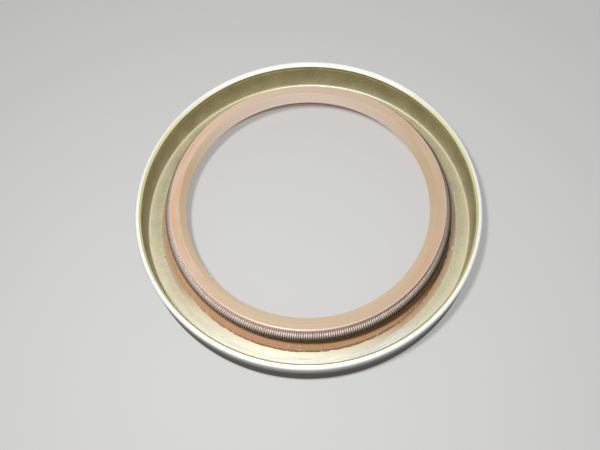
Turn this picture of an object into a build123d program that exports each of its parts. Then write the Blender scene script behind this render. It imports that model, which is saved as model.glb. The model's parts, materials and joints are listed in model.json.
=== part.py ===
"""Radial shaft seal, 50 x 68 x 8 mm: a steel case, a bonded sealing lip and a garter spring.

Z is the shaft's axis, and the origin is the centre of the flat outer face, on the air side.
The open side, with the lip's head and its spring, faces up, towards the oil.
Each section is drawn once in the XZ plane and turned about Z.
"""

import os

from build123d import *

# Main sizes, in millimetres
shaft_diameter = 50.0
section_depth = 9.0  # radial room between the shaft and the housing bore
width = 8.0

# Steel case, drawn and pressed from one sheet
sheet = 1.2
bend_inside_radius = 0.3
rim_round = 0.5
rim_bevel_height = 0.55
mouth_relief = 0.08  # the wall is ironed a little thinner at its mouth
mouth_depth = 1.15
mouth_ramp = 0.15
burr_height = 0.1  # beading the rim leaves its bevel hanging a little over that relief
coin_depth = 0.4  # step pressed into the outer face, which the rubber fills
coin_width = 0.8

# Rubber lip: offsets run outward from the sealing edge, drops run down from the head's top
lip_interference = 1.8  # on the diameter, before the lip is stretched over the shaft
head_stand = 0.25  # the head stands a little above the case's rim
edge_drop = 1.75
edge_land = 0.15
nose_width = 1.12
head_width = 1.85
head_corner_radius = 0.27
horn_drop = 3.65  # lower end of the horn that holds the spring from below
horn_corner_radius = 0.1
waist_drop = 4.05
waist_inner_offset = 1.2
waist_outer_offset = 2.35
waist_radius = 0.3
foot_offset = 4.95
foot_step = 0.12
film_width = 1.1  # rubber that crept out over the flange in the mould
film_thickness = 0.04
heel_offset = 3.6
heel_height = 0.5
heel_bevel = 0.3
flange_offset = 4.1

# Garter spring
wire = 0.4
coil_diameter = 2.2
spring_offset = 3.15
spring_drop = 2.28
groove_clearance = 0.02

# Radii worked out from the sizes above
housing_radius = shaft_diameter / 2 + section_depth
wall_radius = housing_radius - sheet
mouth_radius = wall_radius + mouth_relief
rim_bevel_radius = housing_radius - sheet * 2 / 3
lip_radius = (shaft_diameter - lip_interference) / 2
nose_radius = lip_radius + nose_width
head_radius = nose_radius + head_width
waist_inner_radius = lip_radius + waist_inner_offset
waist_outer_radius = lip_radius + waist_outer_offset
foot_radius = lip_radius + foot_offset
film_radius = foot_radius + film_width
heel_radius = lip_radius + heel_offset
flange_radius = lip_radius + flange_offset
coin_radius = flange_radius + coin_width
spring_radius = lip_radius + spring_offset
coil_radius = coil_diameter / 2

# Heights worked out from the sizes above
rim_bevel_foot = width - rim_bevel_height
mouth_top = rim_bevel_foot - burr_height
mouth_foot = width - mouth_depth
head_height = width + head_stand
edge_top = head_height - edge_drop
edge_foot = edge_top - edge_land
horn_foot = head_height - horn_drop
waist_height = head_height - waist_drop
spring_height = head_height - spring_drop

# The case is an L: the wall that presses into the housing, and the flange that carries the lip
with BuildPart() as case:
    with BuildSketch(Plane.XZ) as case_section:
        with BuildLine():
            Polyline(
                (flange_radius, coin_depth),
                (flange_radius, sheet),
                (wall_radius, sheet),
                (wall_radius, mouth_foot - mouth_ramp),
                (mouth_radius, mouth_foot),
                (mouth_radius, mouth_top),
                (wall_radius, rim_bevel_foot),
                (rim_bevel_radius, width),
                (housing_radius, width),
                (housing_radius, 0),
                (coin_radius, 0),
                (coin_radius, coin_depth),
                close=True,
            )
        make_face()
        inside_corner = case_section.vertices().sort_by_distance((wall_radius, sheet))[0]
        fillet(inside_corner, bend_inside_radius)
        outside_corner = case_section.vertices().sort_by_distance((housing_radius, 0))[0]
        fillet(outside_corner, bend_inside_radius + sheet)
        rim_corner = case_section.vertices().sort_by_distance((housing_radius, width))[0]
        fillet(rim_corner, rim_round)
    revolve(axis=Axis.Z)

case.part.label = "case"

# The lip is one moulding: a heel that grips the flange's edge, a leg that flexes, and a head
with BuildPart() as lip_element:
    with BuildSketch(Plane.XZ) as lip_section:
        with BuildLine():
            Polyline(
                (heel_radius + heel_bevel, 0),
                (coin_radius, 0),
                (coin_radius, coin_depth),
                (flange_radius, coin_depth),
                (flange_radius, sheet),
                (film_radius, sheet),
                (film_radius, sheet + film_thickness),
                (foot_radius, sheet + film_thickness),
                (foot_radius, sheet + foot_step),
                (waist_outer_radius, waist_height),
                (head_radius, horn_foot),
                (head_radius, head_height),
                (nose_radius, head_height),
                (lip_radius, edge_top),
                (lip_radius, edge_foot),
                (waist_inner_radius, waist_height),
                (heel_radius, heel_height),
                close=True,
            )
        make_face()
        head_corner = lip_section.vertices().sort_by_distance((head_radius, head_height))[0]
        fillet(head_corner, head_corner_radius)
        horn_corner = lip_section.vertices().sort_by_distance((head_radius, horn_foot))[0]
        fillet(horn_corner, horn_corner_radius)
        waist = lip_section.vertices().sort_by_distance((waist_outer_radius, waist_height))[0]
        fillet(waist, waist_radius)
        with Locations((spring_radius, spring_height)):
            Circle(coil_radius + groove_clearance, mode=Mode.SUBTRACT)
    revolve(axis=Axis.Z)

lip_element.part.label = "lip_element"

# The spring's turns lie against each other, so it is the tube that they wind, joined into a ring
with BuildPart() as garter_spring:
    with BuildSketch(Plane.XZ):
        with Locations((spring_radius, spring_height)):
            Circle(coil_radius)
            Circle(coil_radius - wire, mode=Mode.SUBTRACT)
    revolve(axis=Axis.Z)

garter_spring.part.label = "garter_spring"

os.makedirs("parts", exist_ok=True)
export_step(case.part, "parts/case.step")
export_step(lip_element.part, "parts/lip_element.step")
export_step(garter_spring.part, "parts/garter_spring.step")
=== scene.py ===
import json
from functools import partial
from math import asin, cos, pi, radians, sin

import bpy
from mathutils import Matrix, Vector


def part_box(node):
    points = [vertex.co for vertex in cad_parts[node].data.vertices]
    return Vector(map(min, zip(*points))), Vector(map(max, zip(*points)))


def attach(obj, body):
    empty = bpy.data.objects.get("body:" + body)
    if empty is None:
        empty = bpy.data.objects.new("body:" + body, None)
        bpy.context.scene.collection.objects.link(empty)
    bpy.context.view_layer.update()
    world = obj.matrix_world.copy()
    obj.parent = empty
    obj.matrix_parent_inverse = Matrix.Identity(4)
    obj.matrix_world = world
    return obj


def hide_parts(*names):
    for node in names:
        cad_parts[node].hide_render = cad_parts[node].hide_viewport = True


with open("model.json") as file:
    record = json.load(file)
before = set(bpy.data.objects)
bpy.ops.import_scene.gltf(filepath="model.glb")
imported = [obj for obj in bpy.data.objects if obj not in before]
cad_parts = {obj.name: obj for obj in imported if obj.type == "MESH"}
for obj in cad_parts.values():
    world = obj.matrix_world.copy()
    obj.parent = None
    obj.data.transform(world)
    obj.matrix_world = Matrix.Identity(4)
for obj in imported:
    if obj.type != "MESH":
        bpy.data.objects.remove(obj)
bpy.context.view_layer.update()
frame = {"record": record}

mm = 0.001


def linearColour(hexColour):
    channels = [int(hexColour[i:i + 2], 16) / 255 for i in (1, 3, 5)]
    linear = [c / 12.92 if c <= 0.04045 else ((c + 0.055) / 1.055) ** 2.4 for c in channels]
    return (*linear, 1.0)


def linearColours(finish):
    return {name: linearColour(value) for name, value in finish.items() if isinstance(value, str)}


def addNode(tree, kind, inputs=(), **settings):
    # one node with its settings and links: the inputs are named, or run in the order that the node
    # shows them, and each is a plain value, a socket, or a node whose first shown output feeds it
    node = tree.nodes.new(kind)
    for name, value in settings.items():
        setattr(node, name, value)
    named = isinstance(inputs, dict)
    shown = [socket for socket in node.inputs if socket.enabled]
    for key, value in inputs.items() if named else enumerate(inputs):
        socket = node.inputs[key] if named else shown[key]
        if isinstance(value, bpy.types.Node):
            value = next(output for output in value.outputs if output.enabled)
        if isinstance(value, bpy.types.NodeSocket):
            tree.links.new(value, socket)
        else:
            socket.default_value = value
    return node


def blankTree(name, inputs):
    # inputs lists the names and types of the sockets that follow the geometry
    tree = bpy.data.node_groups.new(name, "GeometryNodeTree")
    tree.interface.new_socket("Geometry", in_out="INPUT", socket_type="NodeSocketGeometry")
    for label, socketType in inputs:
        tree.interface.new_socket(label, in_out="INPUT", socket_type=socketType)
    tree.interface.new_socket("Geometry", in_out="OUTPUT", socket_type="NodeSocketGeometry")
    add = partial(addNode, tree)
    return tree, add, add("NodeGroupInput").outputs


def endTree(add, geometry, material):
    real = add("GeometryNodeRealizeInstances", {"Geometry": geometry})
    finished = add("GeometryNodeSetMaterial", {"Geometry": real, "Material": material})
    add("NodeGroupOutput", {"Geometry": finished})


def bakeTree(name, startMesh, tree, values):
    # runs the tree on a start mesh and leaves a plain mesh object at the origin
    worker = bpy.data.objects.new(name + "Worker", startMesh)
    bpy.context.scene.collection.objects.link(worker)
    modifier = worker.modifiers.new("build", "NODES")
    modifier.node_group = tree
    for socket in tree.interface.items_tree:
        if socket.in_out == "INPUT" and socket.name in values:
            modifier[socket.identifier] = values[socket.name]
    evaluated = worker.evaluated_get(bpy.context.evaluated_depsgraph_get())
    mesh = bpy.data.meshes.new_from_object(evaluated)
    worker.modifiers.remove(modifier)
    bpy.data.objects.remove(worker)
    mesh.name = name
    piece = bpy.data.objects.new(name, mesh)
    bpy.context.scene.collection.objects.link(piece)
    print(name, "made with", sum(len(face.vertices) - 2 for face in mesh.polygons), "triangles")
    return piece


def settle(piece, node):
    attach(piece, "root")
    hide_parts(node)


# sizes that the frame gives
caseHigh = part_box("case")[1]
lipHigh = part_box("lip_element")[1]
springLow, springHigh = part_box("garter_spring")
mounts = {mount["name"]: mount for mount in frame["record"]["mounts"]}
housingRadius = mounts["housing_fit"]["dims"]["r_mm"] * mm
lipRadius = mounts["sealing_lip"]["dims"]["r_mm"] * mm
sealWidth = caseHigh.z
coilRadius = (springHigh.z - springLow.z) / 2
ringRadius = springHigh.x - coilRadius
ringHeight = (springHigh.z + springLow.z) / 2


# turned sections: a closed outline carried round the shaft's axis
turning = {
    "segments": 720,
    "cornerSteps": 7,
    "sharpAngle": radians(24),
    "pathRadius": 10 * mm,
}


def turningTree():
    tree, add, given = blankTree("turnedSection", [
        ("Segments", "NodeSocketInt"),
        ("Corner Steps", "NodeSocketInt"),
        ("Path Radius", "NodeSocketFloat"),
        ("Sharp Angle", "NodeSocketFloat"),
        ("Ragged From", "NodeSocketFloat"),
        ("Ragged Below", "NodeSocketFloat"),
        ("Raggedness", "NodeSocketFloat"),
        ("Rag Length", "NodeSocketFloat"),
        ("Material", "NodeSocketMaterial"),
    ])
    outline = add("GeometryNodeMeshToCurve", {"Mesh": given["Geometry"]})
    corner = add("GeometryNodeInputNamedAttribute", {"Name": "cornerRadius"}, data_type="FLOAT")
    rounded = add("GeometryNodeFilletCurve", {
        "Curve": outline, "Count": given["Corner Steps"], "Radius": corner, "Limit Radius": True,
    }, mode="POLY")
    # the outline is drawn from the axis, so it steps back by the radius of the path that carries it
    stepBack = add("ShaderNodeMath", (given["Path Radius"], -1.0), operation="MULTIPLY")
    shift = add("ShaderNodeCombineXYZ", {"X": stepBack})
    profile = add("GeometryNodeTransform", {
        "Geometry": rounded, "Translation": shift, "Scale": (1, -1, 1),
    })
    path = add("GeometryNodeCurvePrimitiveCircle", {
        "Resolution": given["Segments"], "Radius": given["Path Radius"],
    })
    turned = add("GeometryNodeCurveToMesh", {"Curve": path, "Profile Curve": profile})

    # moulding flash leaves one edge uneven: its points move along the radius by a smooth noise
    place = add("GeometryNodeInputPosition")
    flat = add("ShaderNodeVectorMath", (place, (1, 1, 0)), operation="MULTIPLY")
    reach = add("ShaderNodeVectorMath", (flat,), operation="LENGTH")
    height = add("ShaderNodeSeparateXYZ", (place,)).outputs["Z"]
    outside = add("FunctionNodeCompare", (reach, given["Ragged From"]), operation="GREATER_THAN")
    below = add("FunctionNodeCompare", (height, given["Ragged Below"]), operation="LESS_THAN")
    onEdge = add("FunctionNodeBooleanMath", (outside, below), operation="AND")
    frequency = add("ShaderNodeMath", (1.0, given["Rag Length"]), operation="DIVIDE")
    noise = add("ShaderNodeTexNoise", {"Vector": flat, "Scale": frequency, "Detail": 3.0})
    amount = add("ShaderNodeMath", (noise, 0.5), operation="SUBTRACT")
    amount = add("ShaderNodeMath", (amount, given["Raggedness"]), operation="MULTIPLY")
    outward = add("ShaderNodeVectorMath", (flat,), operation="NORMALIZE")
    push = add("ShaderNodeVectorMath", (outward, amount), operation="SCALE")
    uneven = add("GeometryNodeSetPosition", {"Geometry": turned, "Selection": onEdge, "Offset": push})

    smooth = add("GeometryNodeSetShadeSmooth", {"Geometry": uneven})
    fold = add("GeometryNodeInputMeshEdgeAngle")
    isSharp = add("FunctionNodeCompare", (fold, given["Sharp Angle"]), operation="GREATER_THAN")
    creased = add("GeometryNodeSetShadeSmooth", {
        "Geometry": smooth, "Selection": isSharp, "Shade Smooth": False,
    }, domain="EDGE")
    endTree(add, creased, given["Material"])
    return tree


def turnedPiece(name, corners, material, tree, ragged=None):
    # corners run round the section as (radius, height, corner radius)
    mesh = bpy.data.meshes.new(name + "Section")
    count = len(corners)
    mesh.from_pydata([(r, z, 0.0) for r, z, _ in corners], [(i, (i + 1) % count) for i in range(count)], [])
    rounding = mesh.attributes.new("cornerRadius", "FLOAT", "POINT")
    rounding.data.foreach_set("value", [corner for _, _, corner in corners])
    values = {
        "Segments": turning["segments"], "Corner Steps": turning["cornerSteps"],
        "Path Radius": turning["pathRadius"], "Sharp Angle": turning["sharpAngle"],
        "Ragged From": 1.0, "Ragged Below": -1.0, "Raggedness": 0.0, "Rag Length": mm, "Material": material,
    }
    values.update(ragged or {})
    return bakeTree(name, mesh, tree, values)


def blankMaterial(name):
    material = bpy.data.materials.new(name)
    material.use_nodes = True
    material.node_tree.nodes.clear()
    return material, partial(addNode, material.node_tree)


def shaftCoordinates(add):
    # object coordinates in millimetres, then radius, height, and the turn's cosine and sine
    metres = add("ShaderNodeTexCoord").outputs["Object"]
    place = add("ShaderNodeVectorMath", (metres, 1 / mm), operation="SCALE")
    split = add("ShaderNodeSeparateXYZ", (place,)).outputs
    flat = add("ShaderNodeVectorMath", (place, (1, 1, 0)), operation="MULTIPLY")
    radius = add("ShaderNodeVectorMath", (flat,), operation="LENGTH")
    cosine = add("ShaderNodeMath", (split["X"], radius), operation="DIVIDE")
    sine = add("ShaderNodeMath", (split["Y"], radius), operation="DIVIDE")
    return place, radius, split["Z"], cosine, sine


def ringLines(add, shaft, spacingMm, streak, detail=2.0):
    # noise that is fine across the rings and long round them; a small streak makes long lines
    radius, height, cosine, sine = shaft[1:]
    alongX = add("ShaderNodeMath", (cosine, streak), operation="MULTIPLY")
    alongY = add("ShaderNodeMath", (sine, streak), operation="MULTIPLY")
    turn = add("ShaderNodeMath", (cosine, sine), operation="SUBTRACT")
    vector = add("ShaderNodeCombineXYZ", (
        add("ShaderNodeMath", (radius, 1 / spacingMm, alongX), operation="MULTIPLY_ADD"),
        add("ShaderNodeMath", (height, 1 / spacingMm, alongY), operation="MULTIPLY_ADD"),
        add("ShaderNodeMath", (turn, streak), operation="MULTIPLY"),
    ))
    return add("ShaderNodeTexNoise", {"Vector": vector, "Scale": 1.0, "Detail": detail})


# case: an L section drawn and pressed from one sheet. In this and the next dictionaries a name that
# ends in Mm is in plain millimetres, and a pair says where a change starts and where it is full
steelCase = {
    "sheet": 1.2 * mm,
    "bendInsideRadius": 0.3 * mm,
    "rimRound": 0.5 * mm,
    "bevelWidth": 0.4 * mm,
    "bevelHeight": 0.55 * mm,
    "relief": 0.08 * mm,
    "reliefFoot": 1.15 * mm,
    "reliefRamp": 0.15 * mm,
    "burrHeight": 0.1 * mm,
    "flangeRadius": 28.2 * mm,
    "coinDepth": 0.4 * mm,
    "coinWidth": 0.8 * mm,

    "wallLight": "#c8c197",
    "wallDark": "#a39b71",
    # painted shade: the wall darker high up, lighter low down where the floor throws light onto it
    "highShade": "#efebdb",  # multiplied into the wall's upper part
    "highShadeMm": (2.2, 5.8),
    "floorLight": "#c8bf8c",
    "floorDark": "#988c60",
    "floorFadeMm": (0.3, 0.05),  # above and below the floor's face
    "floorSheen": 0.25,
    "grainMm": 0.36,
    "grainShare": 0.7,
    "grainSpread": (0.25, 0.75),
    "grainBump": 0.35,
    "grainBumpMm": 0.03,
    "mottleMm": 4.0,
    "mottleShare": 0.5,
    "toneSpread": (0.42, 0.78),
    # painted highlight in the bend between floor and wall
    "bend": "#e9dcc4",
    "bendHighlightStrength": 0.75,
    "bendFromMm": (32.45, 32.55),
    "bendTopMm": (1.75, 1.55),
    # painted light: the floor paler towards the bend
    "bendwardLight": "#ddd4a4",  # the floor's coat towards the bend
    "bendwardLightMm": (30.9, 32.3),
    "bendwardLightStrength": 0.6,
    "fleckMm": 0.3,
    "fleckSpread": (0.68, 0.76),
    "fleckStrength": 0.5,
    "scratchMm": 0.16,
    "scratchStreak": 9.0,
    "scratchSpread": (0.66, 0.74),
    "scratchStrength": 0.45,
    # pale streaks, with a painted highlight for the lamp's glare on the near side of the ring
    "scuffAndGlare": "#dcdde0",
    "scuffMm": 0.2,
    "scuffStreak": 5.0,
    "scuffSpread": (0.38, 0.6),
    "glareMottle": 0.4,
    "glareSide": (-0.4, -0.75),  # by the turn's sine
    "glareStrength": 0.64,
    "bevel": "#f4f5b4",
    "bevelFromMm": (32.83, 32.88),
    "bevelDepthMm": (0.62, 0.56),  # down from the rim
    "bareFromMm": (33.17, 33.23),
    "bareWaveMm": 0.5,
    "bareWaveDepthMm": 0.1,
    # painted highlight: the bevel pale steel on the far side, where it also has more metal sheen
    "farHighlightMottle": 0.3,
    "farHighlightSide": (0.72, 0.95),  # by the turn's sine
    "steel": "#fffdf8",
    # painted shade: the outer wall's dark colour and its fade down from the pale rim
    "outerWallDark": "#433a32",
    "outerShadeDepthMm": (0.15, 3.2),  # down from the rim
    "outerShadeCurve": 0.45,
    "turningMm": 0.06,
    "turningStreak": 2.0,
    "turningSpread": (0.35, 0.75),
    "turningStrength": 0.14,
    "roughness": (0.35, 0.46),  # over the grain
    "outerRoughness": 0.62,
    "rimSheen": 0.4,
    "farHighlightSheen": 0.95,
    "lacquer": 1.0,
    "coatRoughness": 0.42,
    "coatIor": 2.8,
}


def caseMaterial():
    # cold-rolled steel under a thin baked bonding coat: an olive satin with a fine grain, glossier on
    # the floor that the mould pressed, and pale bare metal along the rim that was beaded afterwards
    material, add = blankMaterial("olive_bonding_coat_on_steel")
    shaft = shaftCoordinates(add)
    place, radius, height, _, sine = shaft
    paint = linearColours(steelCase)
    floorMm = steelCase["sheet"] / mm
    rimMm = sealWidth / mm

    # the coat: fine grain on a slow mottle; painted light makes the floor paler towards the bend,
    # a painted highlight makes it palest in the bend itself, and it is pale where flecks of steel show
    # through
    far, near = steelCase["floorFadeMm"]
    underTop = add("ShaderNodeMapRange", (height, floorMm + far, floorMm + near))
    overTop = add("ShaderNodeMapRange", (height, floorMm - far, floorMm - near))
    onFloor = add("ShaderNodeMath", (underTop, overTop), operation="MULTIPLY")
    grain = add("ShaderNodeTexNoise", {
        "Vector": place, "Scale": 1 / steelCase["grainMm"], "Detail": 3.0, "Roughness": 0.7,
    })
    mottle = add("ShaderNodeTexNoise", {"Vector": place, "Scale": 1 / steelCase["mottleMm"], "Detail": 3.0})
    tone = add("ShaderNodeMath", (mottle, steelCase["mottleShare"]), operation="MULTIPLY")
    tone = add("ShaderNodeMath", (grain, steelCase["grainShare"], tone), operation="MULTIPLY_ADD")
    tone = add("ShaderNodeMapRange", (tone, *steelCase["toneSpread"]))
    wallColour = add("ShaderNodeMix", (tone, paint["wallDark"], paint["wallLight"]), data_type="RGBA")
    # painted shade darkens the wall's upper part
    high = add("ShaderNodeMapRange", (height, *steelCase["highShadeMm"]))
    wallColour = add("ShaderNodeMix", (high, wallColour, paint["highShade"]), data_type="RGBA",
                     blend_type="MULTIPLY")
    floorColour = add("ShaderNodeMix", (tone, paint["floorDark"], paint["floorLight"]), data_type="RGBA")
    coatColour = add("ShaderNodeMix", (onFloor, wallColour, floorColour), data_type="RGBA")
    # painted light: the floor paler towards the bend
    bendwardLight = add("ShaderNodeMapRange", (radius, *steelCase["bendwardLightMm"], 0.0, steelCase["bendwardLightStrength"]))
    bendwardLight = add("ShaderNodeMath", (bendwardLight, onFloor), operation="MULTIPLY")
    coatColour = add("ShaderNodeMix", (bendwardLight, coatColour, paint["bendwardLight"]), data_type="RGBA")
    # painted highlight in the bend
    pastFloor = add("ShaderNodeMapRange", (radius, *steelCase["bendFromMm"]))
    underWall = add("ShaderNodeMapRange", (height, *steelCase["bendTopMm"]))
    inBend = add("ShaderNodeMath", (pastFloor, underWall), operation="MULTIPLY")
    inBend = add("ShaderNodeMath", (inBend, steelCase["bendHighlightStrength"]), operation="MULTIPLY")
    coatColour = add("ShaderNodeMix", (inBend, coatColour, paint["bend"]), data_type="RGBA")
    flecks = add("ShaderNodeTexNoise", {"Vector": place, "Scale": 1 / steelCase["fleckMm"], "Detail": 1.0})
    flecks = add("ShaderNodeMapRange", (flecks, *steelCase["fleckSpread"], 0.0, steelCase["fleckStrength"]))
    coatColour = add("ShaderNodeMix", (flecks, coatColour, paint["steel"]), data_type="RGBA")

    # dark scratches round the floor, and pale streaks that also paint the lamp's glare on the near side of
    # the ring
    scratches = ringLines(add, shaft, steelCase["scratchMm"], steelCase["scratchStreak"], 1.0)
    scratches = add("ShaderNodeMapRange", (
        scratches, *steelCase["scratchSpread"], 0.0, steelCase["scratchStrength"],
    ))
    scratches = add("ShaderNodeMath", (scratches, onFloor), operation="MULTIPLY")
    coatColour = add("ShaderNodeMix", (scratches, coatColour, paint["floorDark"]), data_type="RGBA",
                     blend_type="MULTIPLY")
    scuffsAndGlare = ringLines(add, shaft, steelCase["scuffMm"], steelCase["scuffStreak"])
    scuffsAndGlare = add("ShaderNodeMapRange", (scuffsAndGlare, *steelCase["scuffSpread"]))
    # painted highlight: the lamp's glare on the floor's near side
    floorGlare = add("ShaderNodeMath", (mottle, steelCase["glareMottle"], sine), operation="MULTIPLY_ADD")
    floorGlare = add("ShaderNodeMapRange", (floorGlare, *steelCase["glareSide"], 0.0, steelCase["glareStrength"]))
    scuffsAndGlare = add("ShaderNodeMath", (scuffsAndGlare, floorGlare), operation="MULTIPLY")
    scuffsAndGlare = add("ShaderNodeMath", (scuffsAndGlare, onFloor), operation="MULTIPLY")
    coatColour = add("ShaderNodeMix", (scuffsAndGlare, coatColour, paint["scuffAndGlare"]), data_type="RGBA")

    # bare metal: the rim down its outside, pale above and dark below as painted light and shade, and the
    # bevel, turned pale steel on the far side of the ring by a painted highlight
    wave = add("ShaderNodeTexNoise", {"Vector": place, "Scale": 1 / steelCase["bareWaveMm"], "Detail": 3.0})
    waveDepth = steelCase["bareWaveDepthMm"]
    wavyRadius = add("ShaderNodeMath", (radius, waveDepth / 2), operation="SUBTRACT")
    wavyRadius = add("ShaderNodeMath", (wave, waveDepth, wavyRadius), operation="MULTIPLY_ADD")
    bareRim = add("ShaderNodeMapRange", (wavyRadius, *steelCase["bareFromMm"]))
    # painted highlight: the bevel pale steel on the far side of the ring
    farHighlight = add("ShaderNodeMath", (mottle, steelCase["farHighlightMottle"], sine), operation="MULTIPLY_ADD")
    farHighlight = add("ShaderNodeMapRange", (farHighlight, *steelCase["farHighlightSide"]))
    bevelFar, bevelNear = steelCase["bevelDepthMm"]
    pastWall = add("ShaderNodeMapRange", (radius, *steelCase["bevelFromMm"]))
    underRim = add("ShaderNodeMapRange", (height, rimMm - bevelFar, rimMm - bevelNear))
    onBevel = add("ShaderNodeMath", (pastWall, underRim), operation="MULTIPLY")
    turning = ringLines(add, shaft, steelCase["turningMm"], steelCase["turningStreak"], 3.0)
    turned = add("ShaderNodeMapRange", (
        turning, *steelCase["turningSpread"], 0.0, steelCase["turningStrength"],
    ))
    # painted light and shade: the outer wall pale at the rim, darkening down its side
    outerTop, outerLow = steelCase["outerShadeDepthMm"]
    outerShade = add("ShaderNodeMapRange", (height, rimMm - outerTop, rimMm - outerLow))
    outerShade = add("ShaderNodeMath", (outerShade, steelCase["outerShadeCurve"]), operation="POWER")
    steelColour = add("ShaderNodeMix", (outerShade, paint["steel"], paint["outerWallDark"]), data_type="RGBA")
    steelColour = add("ShaderNodeMix", (turned, steelColour, paint["outerWallDark"]), data_type="RGBA")
    bevelColour = add("ShaderNodeMix", (farHighlight, paint["bevel"], paint["steel"]), data_type="RGBA")
    colour = add("ShaderNodeMix", (onBevel, coatColour, bevelColour), data_type="RGBA")
    colour = add("ShaderNodeMix", (bareRim, colour, steelColour), data_type="RGBA")

    bareMetal = add("ShaderNodeMath", (onBevel, bareRim), operation="MAXIMUM")
    rimMetal = add("ShaderNodeMapRange", (farHighlight, 0.0, 1.0, steelCase["rimSheen"], steelCase["farHighlightSheen"]))
    rimMetal = add("ShaderNodeMath", (bareMetal, rimMetal), operation="MULTIPLY")
    floorMetal = add("ShaderNodeMath", (onFloor, steelCase["floorSheen"]), operation="MULTIPLY")
    rough = add("ShaderNodeMapRange", (grain, *steelCase["grainSpread"], *steelCase["roughness"]))
    outside = add("ShaderNodeMath", (outerShade, bareRim), operation="MULTIPLY")
    relief = add("ShaderNodeMix", (bareRim, grain, turning), data_type="FLOAT")
    shader = add("ShaderNodeBsdfPrincipled", {
        "Base Color": colour,
        "Metallic": add("ShaderNodeMath", (floorMetal, rimMetal), operation="MAXIMUM"),
        "Roughness": add("ShaderNodeMix", (outside, rough, steelCase["outerRoughness"]), data_type="FLOAT"),
        "Normal": add("ShaderNodeBump", {
            "Height": relief, "Strength": steelCase["grainBump"], "Distance": steelCase["grainBumpMm"] * mm,
        }),
        "Coat Weight": add("ShaderNodeMath", (onFloor, steelCase["lacquer"]), operation="MULTIPLY"),
        "Coat Roughness": steelCase["coatRoughness"],
        "Coat IOR": steelCase["coatIor"],
    })
    add("ShaderNodeOutputMaterial", {"Surface": shader})
    return material


def makeCase(tree):
    wall = housingRadius - steelCase["sheet"]
    coinRadius = steelCase["flangeRadius"] + steelCase["coinWidth"]
    bevelFoot = sealWidth - steelCase["bevelHeight"]
    reliefFoot = sealWidth - steelCase["reliefFoot"]
    corners = [
        (steelCase["flangeRadius"], steelCase["coinDepth"], 0),
        (steelCase["flangeRadius"], steelCase["sheet"], 0),
        (wall, steelCase["sheet"], steelCase["bendInsideRadius"]),
        (wall, reliefFoot - steelCase["reliefRamp"], 0),
        (wall + steelCase["relief"], reliefFoot, 0),
        (wall + steelCase["relief"], bevelFoot - steelCase["burrHeight"], 0),
        (wall, bevelFoot, 0),
        (wall + steelCase["bevelWidth"], sealWidth, 0),
        (housingRadius, sealWidth, steelCase["rimRound"]),
        (housingRadius, 0, steelCase["bendInsideRadius"] + steelCase["sheet"]),
        (coinRadius, 0, 0),
        (coinRadius, steelCase["coinDepth"], 0),
    ]
    piece = turnedPiece("pressed_case", corners, caseMaterial(), tree)
    settle(piece, "case")


# lip: offsets run outward from the sealing edge, drops run down from the head's top
lip = {
    "edgeDrop": 1.75 * mm,
    "edgeLand": 0.15 * mm,
    "noseWidth": 1.12 * mm,
    "headWidth": 1.85 * mm,
    "crownWidth": 0.26 * mm,
    "crownDrop": 0.06 * mm,
    "crownRound": 0.18 * mm,
    "headCorner": 0.13 * mm,
    "hornDrop": 3.65 * mm,
    "hornCorner": 0.1 * mm,
    "waistDrop": 4.05 * mm,
    "waistInner": 1.2 * mm,
    "waistOuter": 2.35 * mm,
    "waistCorner": 0.3 * mm,
    "footOffset": 4.95 * mm,
    "footStep": 0.12 * mm,
    "heelOffset": 3.6 * mm,
    "heelHeight": 0.5 * mm,
    "heelBevel": 0.3 * mm,
    "grooveClearance": 0.02 * mm,
    "grooveSteps": 28,
    "footRaggedness": 0.55 * mm,
    "footRagLength": 1.3 * mm,

    "moulded": "#cda27b",
    "shade": "#ab8460",
    "cloudMm": 1.6,
    "cloudSpread": (0.35, 0.75),
    "cloudStrength": 0.35,
    # painted shade in the groove under the spring
    "grooveShade": "#5e4434",
    "grooveShadeMm": (4.4, 4.9),
    "head": "#d2bba1",
    # painted sheen: the cut head paler towards the far left
    "headSheen": "#e1cbb4",
    "headSheenSide": (-1.0, 1.1),  # palest at the far left
    "headDepthMm": (0.4, 0.2),  # down from the head's top
    # painted light: the head's outer face paler and pinker, for light thrown up from the spring
    "headSideLight": "#d9a596",
    "headSideDepthMm": (1.5, 1.3),
    "headSideInsetMm": (0.2, 0.1),  # in from the head's outside
    "nose": "#c9b494",
    "nosePale": "#e5d5c7",
    # painted sheen: the nose paler towards the far side
    "noseSheenSide": (0.3, 1.0),  # by the turn's sine
    "noseFadeMm": 0.03,
    "noseDepthMm": (0.25, 0.05),  # down from the sealing edge
    "patch": "#dcab82",
    "patchMm": 1.5,
    "patchStreak": 2.2,
    # the patches are real, and pushing them to the sides also paints the head warmer where it shows less
    # sheen
    "patchSides": 0.22,  # how far the patches keep to the ring's left and right
    "patchSpread": (0.6, 0.86),
    "patchStrength": 0.55,
    # painted shade along the foot's edge, weaker on the left towards the lamp
    "footEdge": "#7d5c40",
    "footInsetMm": (0.34, 0.2),  # in from the foot's outside
    "footTopMm": (2.0, 1.6),
    "footSide": (-0.75, -0.3),  # by the turn's cosine
    "footStrength": (0.2, 0.75),
    "dustMm": 0.35,
    "dustSpread": (0.6, 0.68),
    "lineMm": 0.11,
    "lineStreak": 1.2,
    "darkLines": 0.2,
    "darkLineSpread": (0.42, 0.7),
    "paleLines": 0.16,
    "paleLineSpread": (0.4, 0.22),
    # painted highlight along the head's polished outer corner
    "edge": "#ecdccb",
    "edgeInsetMm": (0.28, 0.2),  # in from the head's outside
    "edgeHighlightStrength": 0.25,
    "roughness": (0.44, 0.58),  # over the lines
    "roughnessSpread": (0.3, 0.7),
    "edgeRoughness": 0.36,
    "coatRoughness": 0.42,
    "coatIor": 1.6,
    "bump": 0.3,
    "bumpMm": 0.02,
}


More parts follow.
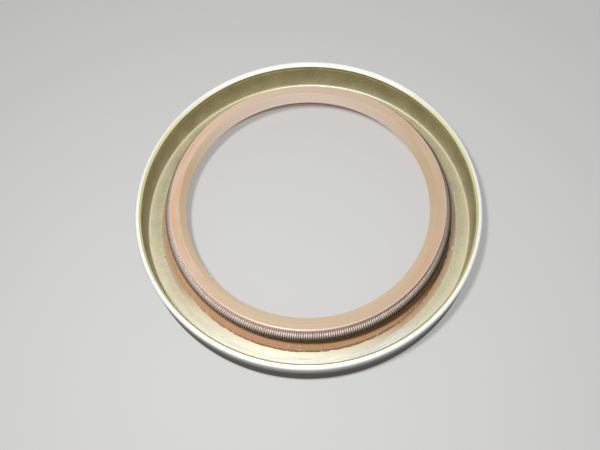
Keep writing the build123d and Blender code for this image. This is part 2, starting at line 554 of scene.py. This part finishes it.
def rubberMaterial(noseMm, headMm, headTopMm, edgeMm, footMm):
    # brown fluoroelastomer, moulded and then trimmed: a soft satin, paler where the knife has cut
    # the head and the nose, with faint rings and warmer patches there, a painted sheen there towards the far
    # side, and a polished outer corner with a painted highlight
    material, add = blankMaterial("brown_fluoroelastomer")
    shaft = shaftCoordinates(add)
    place, radius, height, cosine, sine = shaft
    paint = linearColours(lip)
    rings = ringLines(add, shaft, lip["lineMm"], lip["lineStreak"])

    # the cut faces, paler towards the far side with a painted sheen
    low, high = lip["headDepthMm"]
    onHead = add("ShaderNodeMapRange", (height, headTopMm - low, headTopMm - high))
    fade = lip["noseFadeMm"]
    inNose = add("ShaderNodeMapRange", (radius, noseMm + fade, noseMm - fade))
    low, high = lip["noseDepthMm"]
    overEdge = add("ShaderNodeMapRange", (height, edgeMm - low, edgeMm - high))
    nose = add("ShaderNodeMath", (inNose, overEdge), operation="MULTIPLY")
    # painted sheen: the cut head paler towards the far left
    pale = add("ShaderNodeMath", (cosine, -0.6, sine), operation="MULTIPLY_ADD")
    pale = add("ShaderNodeMapRange", (pale, *lip["headSheenSide"]))
    headColour = add("ShaderNodeMix", (pale, paint["head"], paint["headSheen"]), data_type="RGBA")
    patches = ringLines(add, shaft, lip["patchMm"], lip["patchStreak"])
    # pushing the patches to the sides also paints the head warmer where it shows less sheen
    toSides = add("ShaderNodeMath", (cosine, cosine), operation="MULTIPLY")
    patches = add("ShaderNodeMath", (toSides, lip["patchSides"], patches), operation="MULTIPLY_ADD")
    patches = add("ShaderNodeMapRange", (patches, *lip["patchSpread"], 0.0, lip["patchStrength"]))
    headColour = add("ShaderNodeMix", (patches, headColour, paint["patch"]), data_type="RGBA")
    # painted sheen: the nose paler towards the far side
    noseSheen = add("ShaderNodeMapRange", (sine, *lip["noseSheenSide"]))
    noseColour = add("ShaderNodeMix", (noseSheen, paint["nose"], paint["nosePale"]), data_type="RGBA")
    trimmed = add("ShaderNodeMix", (nose, headColour, noseColour), data_type="RGBA")

    # the moulded skin, with painted shade in the groove and along the foot's edge, and painted light on the
    # head's outer face
    cloud = add("ShaderNodeTexNoise", {"Vector": place, "Scale": 1 / lip["cloudMm"], "Detail": 3.0})
    cloud = add("ShaderNodeMapRange", (cloud, *lip["cloudSpread"], 0.0, lip["cloudStrength"]))
    body = add("ShaderNodeMix", (cloud, paint["moulded"], paint["shade"]), data_type="RGBA")
    # painted shade in the groove under the spring
    grooveShade = add("ShaderNodeMapRange", (height, *lip["grooveShadeMm"]))
    body = add("ShaderNodeMix", (grooveShade, body, paint["grooveShade"]), data_type="RGBA")
    # painted light on the head's outer face
    low, high = lip["headSideDepthMm"]
    highUp = add("ShaderNodeMapRange", (height, headTopMm - low, headTopMm - high))
    inner, outer = lip["headSideInsetMm"]
    farOut = add("ShaderNodeMapRange", (radius, headMm - inner, headMm - outer))
    side = add("ShaderNodeMath", (highUp, farOut), operation="MULTIPLY")
    body = add("ShaderNodeMix", (side, body, paint["headSideLight"]), data_type="RGBA")
    inner, outer = lip["footInsetMm"]
    atFoot = add("ShaderNodeMapRange", (radius, footMm - inner, footMm - outer))
    lowDown = add("ShaderNodeMapRange", (height, *lip["footTopMm"]))
    footEdge = add("ShaderNodeMath", (atFoot, lowDown), operation="MULTIPLY")
    # painted shade along the foot's edge, weaker on the left towards the lamp
    footShade = add("ShaderNodeMapRange", (cosine, *lip["footSide"], *lip["footStrength"]))
    footShade = add("ShaderNodeMath", (footEdge, footShade), operation="MULTIPLY")
    body = add("ShaderNodeMix", (footShade, body, paint["footEdge"]), data_type="RGBA")
    dust = add("ShaderNodeTexNoise", {"Vector": place, "Scale": 1 / lip["dustMm"], "Detail": 2.0})
    dust = add("ShaderNodeMapRange", (dust, *lip["dustSpread"]))
    dust = add("ShaderNodeMath", (footEdge, dust), operation="MULTIPLY")
    body = add("ShaderNodeMix", (dust, body, paint["nosePale"]), data_type="RGBA")
    cut = add("ShaderNodeMath", (nose, onHead), operation="MAXIMUM")
    colour = add("ShaderNodeMix", (cut, body, trimmed), data_type="RGBA")

    # faint rings over both, and the head's polished corner with a painted highlight in pale colour
    darkRings = add("ShaderNodeMapRange", (rings, *lip["darkLineSpread"], 0.0, lip["darkLines"]))
    colour = add("ShaderNodeMix", (darkRings, colour, paint["shade"]), data_type="RGBA")
    paleRings = add("ShaderNodeMapRange", (rings, *lip["paleLineSpread"], 0.0, lip["paleLines"]))
    colour = add("ShaderNodeMix", (paleRings, colour, paint["nosePale"]), data_type="RGBA")
    inner, outer = lip["edgeInsetMm"]
    polished = add("ShaderNodeMapRange", (radius, headMm - inner, headMm - outer))
    polished = add("ShaderNodeMath", (polished, onHead), operation="MULTIPLY")
    # painted highlight on the polished corner
    corner = add("ShaderNodeMath", (polished, lip["edgeHighlightStrength"]), operation="MULTIPLY")
    colour = add("ShaderNodeMix", (corner, colour, paint["edge"]), data_type="RGBA")
    satin = add("ShaderNodeMapRange", (rings, *lip["roughnessSpread"], *lip["roughness"]))
    shader = add("ShaderNodeBsdfPrincipled", {
        "Base Color": colour,
        "Roughness": add("ShaderNodeMix", (polished, satin, lip["edgeRoughness"]), data_type="FLOAT"),
        "Diffuse Roughness": 1.0,
        "Normal": add("ShaderNodeBump", {
            "Height": rings, "Strength": lip["bump"], "Distance": lip["bumpMm"] * mm,
        }),
        "Coat Weight": polished,
        "Coat Roughness": lip["coatRoughness"],
        "Coat IOR": lip["coatIor"],
    })
    add("ShaderNodeOutputMaterial", {"Surface": shader})
    return material


def grooveCorners(headRadius):
    # arc of the spring's seat, from its lower mouth round the back to its upper mouth
    seat = coilRadius + lip["grooveClearance"]
    inset = ringRadius - headRadius
    mouth = pi / 2 + asin(inset / seat)
    steps = lip["grooveSteps"]
    turns = [-mouth - (2 * pi - 2 * mouth) * i / steps for i in range(steps + 1)]
    return [(ringRadius + seat * cos(a), ringHeight + seat * sin(a), 0) for a in turns]


def makeLip(tree):
    headHeight = lipHigh.z
    noseRadius = lipRadius + lip["noseWidth"]
    headRadius = noseRadius + lip["headWidth"]
    footRadius = lipRadius + lip["footOffset"]
    heelRadius = lipRadius + lip["heelOffset"]
    coinRadius = steelCase["flangeRadius"] + steelCase["coinWidth"]
    waistHeight = headHeight - lip["waistDrop"]
    edgeTop = headHeight - lip["edgeDrop"]
    corners = [
        (heelRadius + lip["heelBevel"], 0, 0),
        (coinRadius, 0, 0),
        (coinRadius, steelCase["coinDepth"], 0),
        (steelCase["flangeRadius"], steelCase["coinDepth"], 0),
        (steelCase["flangeRadius"], steelCase["sheet"], 0),
        (footRadius, steelCase["sheet"], 0),
        (footRadius, steelCase["sheet"] + lip["footStep"], 0),
        (lipRadius + lip["waistOuter"], waistHeight, lip["waistCorner"]),
        (headRadius, headHeight - lip["hornDrop"], lip["hornCorner"]),
        *grooveCorners(headRadius),
        (headRadius, headHeight - lip["crownDrop"], lip["headCorner"]),
        (headRadius - lip["crownWidth"], headHeight, lip["crownRound"]),
        (noseRadius, headHeight, 0),
        (lipRadius, edgeTop, 0),
        (lipRadius, edgeTop - lip["edgeLand"], 0),
        (lipRadius + lip["waistInner"], waistHeight, 0),
        (heelRadius, lip["heelHeight"], 0),
    ]
    ragged = {
        "Ragged From": footRadius - 0.1 * mm,
        "Ragged Below": steelCase["sheet"] + lip["footStep"] + 0.05 * mm,
        "Raggedness": lip["footRaggedness"],
        "Rag Length": lip["footRagLength"],
    }
    material = rubberMaterial(noseRadius / mm, headRadius / mm, headHeight / mm, edgeTop / mm,
                              footRadius / mm)
    piece = turnedPiece("moulded_lip", corners, material, tree, ragged)
    settle(piece, "lip_element")
    return footRadius


# film: the flash that crept out from the foot over the floor
film = {
    "width": 1.02 * mm,
    "thickness": 0.04 * mm,
    "edgeThickness": 0.025 * mm,
    "raggedness": 0.4 * mm,
    "ragLength": 2.2 * mm,

    "thin": "#b3925f",
    "thick": "#9c7648",
    "nickAndGlare": "#c6bea0",
    "cloudMm": 0.7,
    "cloudShare": 0.9,
    "outwardShare": 0.7,
    "thinFromFootMm": 1.1,
    "thinSpread": (0.05, 0.7),
    # painted highlight: on the near side the film takes the coat's colour, for the lamp's glare over it
    "filmGlareLean": 0.22,
    "filmGlareSide": (-0.7, -0.86),  # by the turn's sine
    "filmGlareStrength": 0.9,
    "nickTurn": 342.1,
    "nickReachMm": 29.95,
    "nickMm": (0.45, 0.32),  # away from its middle
    "roughness": 0.4,
    "sheen": 0.35,
    "coatRoughness": 0.39,
    "coatIor": 2.0,
    "bump": 0.3,
    "bumpMm": 0.02,
}


def filmMaterial(footMm):
    # rubber that crept over the floor in the mould: a film so thin that the coat tints it
    material, add = blankMaterial("thin_rubber_flash")
    place, radius, _, cosine, sine = shaftCoordinates(add)
    paint = linearColours(film)
    cloud = add("ShaderNodeTexNoise", {"Vector": place, "Scale": 1 / film["cloudMm"], "Detail": 3.0})
    outward = add("ShaderNodeMapRange", (radius, footMm, footMm + film["thinFromFootMm"]))
    share = film["outwardShare"]
    outward = add("ShaderNodeMath", (outward, share, -share / 2), operation="MULTIPLY_ADD")
    thinness = add("ShaderNodeMath", (cloud, film["cloudShare"], outward), operation="MULTIPLY_ADD")
    thinness = add("ShaderNodeMapRange", (thinness, *film["thinSpread"]))
    colour = add("ShaderNodeMix", (thinness, paint["thick"], paint["thin"]), data_type="RGBA")

    # painted glare: the film takes the coat's colour on the near side, and the coat shows in a small nick in
    # its edge
    filmGlare = add("ShaderNodeMath", (cosine, film["filmGlareLean"], sine), operation="MULTIPLY_ADD")
    filmGlare = add("ShaderNodeMapRange", (filmGlare, *film["filmGlareSide"], 0.0, film["filmGlareStrength"]))
    turn = radians(film["nickTurn"])
    reach = film["nickReachMm"]
    middle = (reach * cos(turn), reach * sin(turn), steelCase["sheet"] / mm)
    away = add("ShaderNodeVectorMath", (place, middle), operation="DISTANCE")
    nick = add("ShaderNodeMapRange", (away, *film["nickMm"]))
    nickAndGlare = add("ShaderNodeMath", (filmGlare, nick), operation="MAXIMUM")
    shader = add("ShaderNodeBsdfPrincipled", {
        "Base Color": add("ShaderNodeMix", (nickAndGlare, colour, paint["nickAndGlare"]), data_type="RGBA"),
        "Metallic": film["sheen"],
        "Roughness": film["roughness"],
        "Normal": add("ShaderNodeBump", {
            "Height": cloud, "Strength": film["bump"], "Distance": film["bumpMm"] * mm,
        }),
        "Coat Weight": 1.0,
        "Coat Roughness": film["coatRoughness"],
        "Coat IOR": film["coatIor"],
    })
    add("ShaderNodeOutputMaterial", {"Surface": shader})
    return material


def makeFilm(tree, footRadius):
    start = footRadius - 0.2 * mm
    floor = steelCase["sheet"]
    edge = footRadius + film["width"]
    corners = [
        (start, floor, 0),
        (edge, floor, 0),
        (edge, floor + film["edgeThickness"], 0),
        (start, floor + film["thickness"], 0),
    ]
    ragged = {
        "Ragged From": edge - 0.1 * mm,
        "Ragged Below": floor + mm,
        "Raggedness": film["raggedness"],
        "Rag Length": film["ragLength"],
    }
    piece = turnedPiece("flash_film", corners, filmMaterial(footRadius / mm), tree, ragged)
    settle(piece, "lip_element")


# crumbs of flash that stayed on the lip's flank, and one dark crumb of dirt on the floor beside the film
crumbs = {
    # degrees round, reach in mm, size in mm
    "places": [(260.8, 28.3, 0.42), (264.8, 28.26, 0.34), (264.9, 28.82, 0.4), (263.9, 28.7, 0.26),
               (196.3, 30.2, 0.22)],
    "lumpiness": 0.12 * mm,
    "lumpLength": 0.2 * mm,
    "sunk": 0.3,  # of the size
    "shred": "#c9a789",
    "dusty": "#f3ddcd",
    "dark": "#43362a",
    "darkFromMm": 29.6,
    "dustMm": 0.15,
    "roughness": 0.5,
}


def crumbTree():
    tree, add, given = blankTree("scatteredCrumbs", [
        ("Lumpiness", "NodeSocketFloat"),
        ("Lump Length", "NodeSocketFloat"),
        ("Material", "NodeSocketMaterial"),
    ])
    size = add("GeometryNodeInputNamedAttribute", {"Name": "size"}, data_type="FLOAT")
    ball = add("GeometryNodeMeshIcoSphere", {"Radius": 0.5, "Subdivisions": 3})
    placed = add("GeometryNodeInstanceOnPoints", {
        "Points": given["Geometry"], "Instance": ball, "Scale": size,
    })
    real = add("GeometryNodeRealizeInstances", {"Geometry": placed})
    place = add("GeometryNodeInputPosition")
    frequency = add("ShaderNodeMath", (1.0, given["Lump Length"]), operation="DIVIDE")
    noise = add("ShaderNodeTexNoise", {"Vector": place, "Scale": frequency, "Detail": 2.0})
    amount = add("ShaderNodeMath", (noise, 0.5), operation="SUBTRACT")
    amount = add("ShaderNodeMath", (amount, given["Lumpiness"]), operation="MULTIPLY")
    normal = add("GeometryNodeInputNormal")
    push = add("ShaderNodeVectorMath", (normal, amount), operation="SCALE")
    lumpy = add("GeometryNodeSetPosition", {"Geometry": real, "Offset": push})
    smooth = add("GeometryNodeSetShadeSmooth", {"Geometry": lumpy})
    endTree(add, smooth, given["Material"])
    return tree


def crumbMaterial():
    # shreds of the trimmed rubber, dry and dusty, so paler and duller than the moulded skin; the one
    # on the case is dirt, and dark
    material, add = blankMaterial("dusty_rubber_crumb")
    place, radius = shaftCoordinates(add)[:2]
    paint = linearColours(crumbs)
    dust = add("ShaderNodeTexNoise", {"Vector": place, "Scale": 1 / crumbs["dustMm"], "Detail": 2.0})
    colour = add("ShaderNodeMix", (dust, paint["shred"], paint["dusty"]), data_type="RGBA")
    onCase = add("ShaderNodeMapRange", (radius, crumbs["darkFromMm"] - 0.1, crumbs["darkFromMm"]))
    colour = add("ShaderNodeMix", (onCase, colour, paint["dark"]), data_type="RGBA")
    shader = add("ShaderNodeBsdfPrincipled", {"Base Color": colour, "Roughness": crumbs["roughness"]})
    add("ShaderNodeOutputMaterial", {"Surface": shader})
    return material


def makeCrumbs(footRadius):
    # the flank runs straight from the foot's step to the waist, and beyond the foot is the case's floor
    waistRadius = lipRadius + lip["waistOuter"]
    footHeight = steelCase["sheet"] + lip["footStep"]
    slope = (lipHigh.z - lip["waistDrop"] - footHeight) / (footRadius - waistRadius)
    points = []
    for turn, radiusMm, sizeMm in crumbs["places"]:
        reach = radiusMm * mm
        lift = (0.5 - crumbs["sunk"]) * sizeMm * mm
        height = steelCase["sheet"] + lift
        if reach < footRadius:
            height = footHeight + (footRadius - reach) * slope + lift
        points.append((reach * cos(radians(turn)), reach * sin(radians(turn)), height))
    mesh = bpy.data.meshes.new("crumbPlaces")
    mesh.from_pydata(points, [], [])
    sizes = mesh.attributes.new("size", "FLOAT", "POINT")
    sizes.data.foreach_set("value", [size * mm for _, _, size in crumbs["places"]])
    piece = bakeTree("flash_crumbs", mesh, crumbTree(), {
        "Lumpiness": crumbs["lumpiness"],
        "Lump Length": crumbs["lumpLength"],
        "Material": crumbMaterial(),
    })
    settle(piece, "lip_element")


# garter spring: one wire wound in close turns and joined into a ring
spring = {
    "turns": 420,
    "wire": 0.405 * mm,
    "pointsPerTurn": 16,
    "wireSides": 8,
    "unevenness": 0.03,  # of the pitch
    "unevenLength": 3.0 * mm,

    "bright": "#c2b5ad",
    "dull": "#b3a79f",
    "streakMm": 0.6,
    "streakSpread": (0.3, 0.7),
    # painted shade on the wire, darkest on its low outer side
    "wireShade": "#71675f",
    "wireShadeMm": (0.9, 0.0),  # over the ring's middle
    "deepShade": "#26211d",
    "deepShadeMm": (0.05, -0.4),
    "outwardShade": -0.25,  # for each millimetre outwards
    "sideShadeMm": -0.45,
    "roughness": (0.64, 0.51),  # over the streaks
    "roughnessSpread": (0.2, 0.8),
}


def wireMaterial():
    # drawn carbon spring wire: light along the crown of the turns, with painted shade outside and below the
    # ring's middle, more on the right away from the lamp, and darkest on the low outer side
    material, add = blankMaterial("drawn_spring_wire")
    place, radius, height, cosine, _ = shaftCoordinates(add)
    paint = linearColours(spring)
    streaks = add("ShaderNodeTexNoise", {"Vector": place, "Scale": 1 / spring["streakMm"], "Detail": 3.0})
    bright = add("ShaderNodeMapRange", (streaks, *spring["streakSpread"]))
    colour = add("ShaderNodeMix", (bright, paint["dull"], paint["bright"]), data_type="RGBA")
    # painted shade: darker below and outside the ring's middle, and on the right away from the lamp
    outward = add("ShaderNodeMath", (radius, ringRadius / mm), operation="SUBTRACT")
    lift = add("ShaderNodeMath", (height, ringHeight / mm), operation="SUBTRACT")
    lift = add("ShaderNodeMath", (outward, spring["outwardShade"], lift), operation="MULTIPLY_ADD")
    lift = add("ShaderNodeMath", (cosine, spring["sideShadeMm"], lift), operation="MULTIPLY_ADD")
    wireShade = add("ShaderNodeMapRange", (lift, *spring["wireShadeMm"]))
    colour = add("ShaderNodeMix", (wireShade, colour, paint["wireShade"]), data_type="RGBA")
    deepShade = add("ShaderNodeMapRange", (lift, *spring["deepShadeMm"]))
    colour = add("ShaderNodeMix", (deepShade, colour, paint["deepShade"]), data_type="RGBA")
    rough = add("ShaderNodeMapRange", (streaks, *spring["roughnessSpread"], *spring["roughness"]))
    shader = add("ShaderNodeBsdfPrincipled", {"Base Color": colour, "Metallic": 1.0, "Roughness": rough})
    add("ShaderNodeOutputMaterial", {"Surface": shader})
    return material


def springTree():
    tree, add, given = blankTree("closeWoundCoil", [
        ("Turns", "NodeSocketInt"),
        ("Points Per Turn", "NodeSocketInt"),
        ("Ring Radius", "NodeSocketFloat"),
        ("Ring Height", "NodeSocketFloat"),
        ("Winding Radius", "NodeSocketFloat"),
        ("Wire Radius", "NodeSocketFloat"),
        ("Wire Sides", "NodeSocketInt"),
        ("Unevenness", "NodeSocketFloat"),
        ("Uneven Length", "NodeSocketFloat"),
        ("Material", "NodeSocketMaterial"),
    ])
    pointCount = add("ShaderNodeMath", (given["Turns"], given["Points Per Turn"]), operation="MULTIPLY")
    ring = add("GeometryNodeCurvePrimitiveCircle", {
        "Resolution": pointCount, "Radius": given["Ring Radius"],
    })
    index = add("GeometryNodeInputIndex")
    windAngle = add("ShaderNodeMath", (index, given["Points Per Turn"]), operation="DIVIDE")
    windAngle = add("ShaderNodeMath", (windAngle, 2 * pi), operation="MULTIPLY")
    ringAngle = add("ShaderNodeMath", (index, pointCount), operation="DIVIDE")
    ringAngle = add("ShaderNodeMath", (ringAngle, 2 * pi), operation="MULTIPLY")

    # the turns crowd and part a little round the ring
    place = add("GeometryNodeInputPosition")
    frequency = add("ShaderNodeMath", (1.0, given["Uneven Length"]), operation="DIVIDE")
    noise = add("ShaderNodeTexNoise", {"Vector": place, "Scale": frequency, "Detail": 2.0})
    crowding = add("ShaderNodeMath", (noise, 0.5), operation="SUBTRACT")
    crowding = add("ShaderNodeMath", (crowding, given["Unevenness"]), operation="MULTIPLY")
    pitch = add("ShaderNodeMath", (2 * pi, given["Turns"]), operation="DIVIDE")
    ringAngle = add("ShaderNodeMath", (crowding, pitch, ringAngle), operation="MULTIPLY_ADD")

    # each point goes round the winding, and the winding goes round the ring
    windCosine = add("ShaderNodeMath", (windAngle,), operation="COSINE")
    windSine = add("ShaderNodeMath", (windAngle,), operation="SINE")
    ringCosine = add("ShaderNodeMath", (ringAngle,), operation="COSINE")
    ringSine = add("ShaderNodeMath", (ringAngle,), operation="SINE")
    reach = add("ShaderNodeMath", (windCosine, given["Winding Radius"], given["Ring Radius"]),
                operation="MULTIPLY_ADD")
    height = add("ShaderNodeMath", (windSine, given["Winding Radius"], given["Ring Height"]),
                 operation="MULTIPLY_ADD")
    wound = add("ShaderNodeCombineXYZ", (
        add("ShaderNodeMath", (reach, ringCosine), operation="MULTIPLY"),
        add("ShaderNodeMath", (reach, ringSine), operation="MULTIPLY"),
        height,
    ))
    helix = add("GeometryNodeSetPosition", {"Geometry": ring, "Position": wound})
    section = add("GeometryNodeCurvePrimitiveCircle", {
        "Resolution": given["Wire Sides"], "Radius": given["Wire Radius"],
    })
    wire = add("GeometryNodeCurveToMesh", {"Curve": helix, "Profile Curve": section})
    smooth = add("GeometryNodeSetShadeSmooth", {"Geometry": wire})
    endTree(add, smooth, given["Material"])
    return tree


def makeSpring():
    wireRadius = spring["wire"] / 2
    piece = bakeTree("coil_spring", bpy.data.meshes.new("springStart"), springTree(), {
        "Turns": spring["turns"],
        "Points Per Turn": spring["pointsPerTurn"],
        "Ring Radius": ringRadius,
        "Ring Height": ringHeight,
        "Winding Radius": coilRadius - wireRadius,
        "Wire Radius": wireRadius,
        "Wire Sides": spring["wireSides"],
        "Unevenness": spring["unevenness"],
        "Uneven Length": spring["unevenLength"],
        "Material": wireMaterial(),
    })
    settle(piece, "garter_spring")


# floor, light and camera
studio = {
    "floorColour": "#d9d9d8",
    "floorHalf": 0.8,
    "floorDrop": 0.01 * mm,  # keeps it clear of the seal's own underside
    "floorGlow": 0.5,
    "lampPlace": Vector((-20, -43, 137)) * mm,
    "lampSize": 14 * mm,
    "lampPower": 0.163,
    "fill": 0.14,
}

view = {
    "place": Vector((0, -60.845, 120.302)) * mm,
    "target": Vector((-1.639, -5.910, 8.0)) * mm,
    "rollDegrees": -3.910,
    "lens": 39.0,
}


def seenDirectly(add):
    # one for camera, glossy and transmission rays, so that gloss shows the pale surroundings too
    rays = add("ShaderNodeLightPath").outputs
    seen = add("ShaderNodeMath", (rays["Is Camera Ray"], rays["Is Glossy Ray"]), operation="MAXIMUM")
    return add("ShaderNodeMath", (seen, rays["Is Transmission Ray"]), operation="MAXIMUM")


def makeFloor():
    half = studio["floorHalf"]
    sides = [(-half, -half), (half, -half), (half, half), (-half, half)]
    mesh = bpy.data.meshes.new("floor")
    mesh.from_pydata([(x, y, -studio["floorDrop"]) for x, y in sides], [], [(0, 1, 2, 3)])
    floor = bpy.data.objects.new("floor", mesh)
    bpy.context.scene.collection.objects.link(floor)
    # pale card that glows a little where it is seen, and is lit and shaded elsewhere like any card
    material, add = blankMaterial("pale_card")
    colour = linearColour(studio["floorColour"])
    card = add("ShaderNodeBsdfDiffuse", {"Color": colour})
    glow = add("ShaderNodeEmission", {"Color": colour})
    share = add("ShaderNodeMath", (seenDirectly(add), studio["floorGlow"]), operation="MULTIPLY")
    mixed = add("ShaderNodeMixShader", (share, card, glow))
    add("ShaderNodeOutputMaterial", {"Surface": mixed})
    mesh.materials.append(material)


def makeLight():
    data = bpy.data.lights.new("softbox", "AREA")
    data.shape = "DISK"
    data.size = studio["lampSize"]
    data.energy = studio["lampPower"]
    lamp = bpy.data.objects.new("softbox", data)
    lamp.location = studio["lampPlace"]
    lamp.rotation_euler = (-studio["lampPlace"]).to_track_quat("-Z", "Y").to_euler()
    lamp.visible_camera = False
    bpy.context.scene.collection.objects.link(lamp)

    world = bpy.data.worlds.new("studioWalls")
    world.use_nodes = True
    world.node_tree.nodes.clear()
    add = partial(addNode, world.node_tree)
    strength = add("ShaderNodeMapRange", (seenDirectly(add), 0.0, 1.0, studio["fill"], 1.0))
    walls = add("ShaderNodeBackground", {"Color": (1, 1, 1, 1), "Strength": strength})
    add("ShaderNodeOutputWorld", {"Surface": walls})
    bpy.context.scene.world = world


def makeCamera():
    data = bpy.data.cameras.new("camera")
    data.lens = view["lens"]
    data.sensor_width = 36
    data.clip_start = 0.01
    camera = bpy.data.objects.new("camera", data)
    aim = (view["target"] - view["place"]).to_track_quat("-Z", "Y").to_matrix().to_4x4()
    roll = Matrix.Rotation(radians(view["rollDegrees"]), 4, "Z")
    camera.matrix_world = Matrix.Translation(view["place"]) @ aim @ roll
    bpy.context.scene.collection.objects.link(camera)
    bpy.context.scene.camera = camera


turningNodes = turningTree()
makeCase(turningNodes)
foot = makeLip(turningNodes)
makeFilm(turningNodes, foot)
makeCrumbs(foot)
makeSpring()
print("pieces in place")
makeFloor()
makeLight()
makeCamera()
bpy.context.scene.view_settings.view_transform = "Standard"
print("studio ready")
